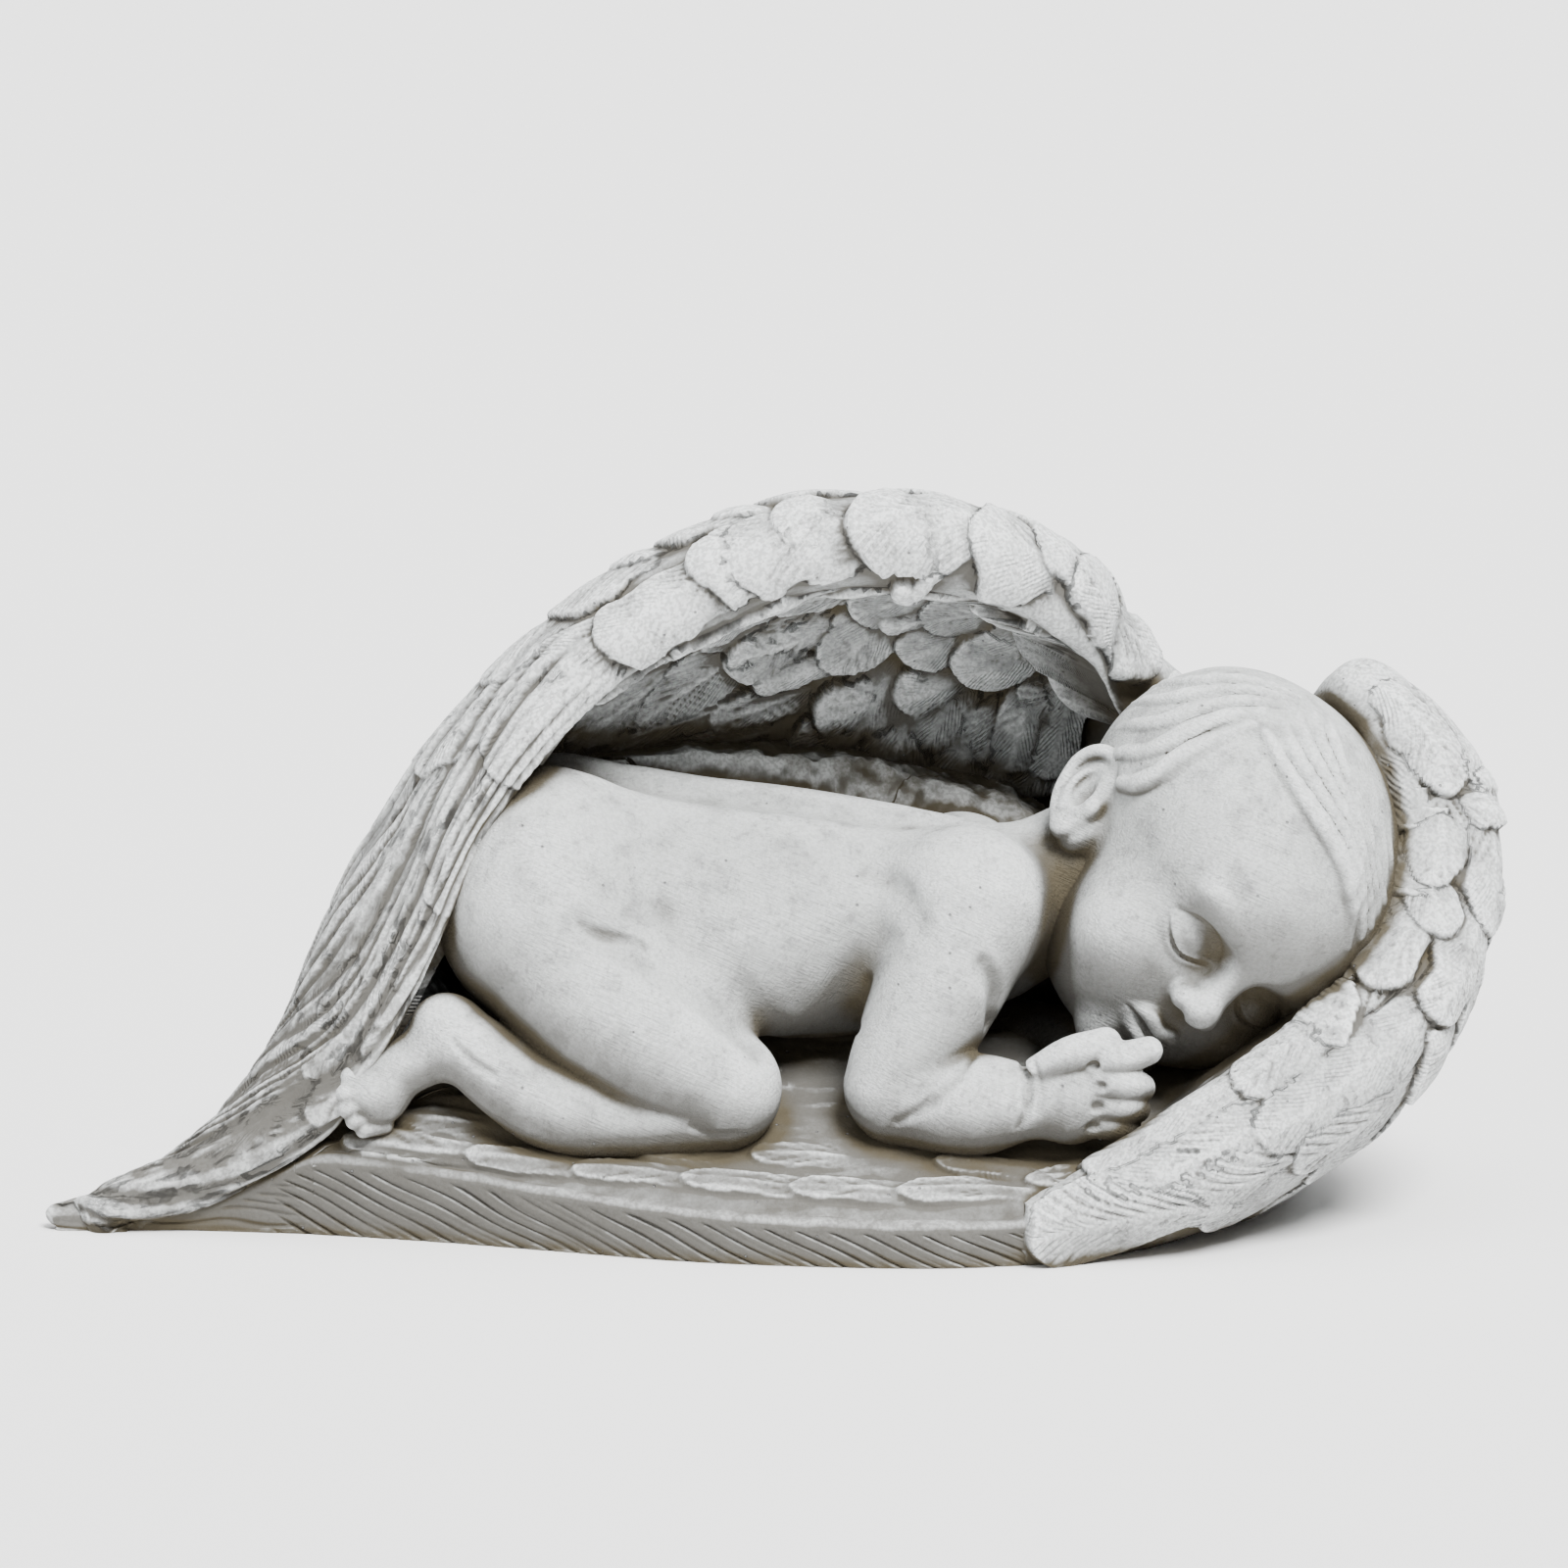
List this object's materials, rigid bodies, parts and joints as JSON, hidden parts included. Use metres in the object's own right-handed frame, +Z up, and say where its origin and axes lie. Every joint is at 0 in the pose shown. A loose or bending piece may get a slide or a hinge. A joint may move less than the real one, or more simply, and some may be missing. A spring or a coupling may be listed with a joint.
{
  "type": "sleeping angel statue",
  "caption": "Cast stone statue of an infant asleep on its front in a nest of two feathered wings, one arching over its back and one cradling its head, standing on a flat underside",
  "frame": {"origin": "middle of the flat underside's level, under the middle of the whole statue", "axes": "+X from the wings' tail tips to the head, +Y from the open side to the back of the nest, +Z up"},
  "size_m": [0.378, 0.1506, 0.1878],
  "materials": {
    "weathered_stone": "matt, weathered, with pale high spots and olive brown dirt in the crevices"
  },
  "bodies": {
    "root": {"sleeping_angel": "weathered_stone"}
  },
  "joints": []
}
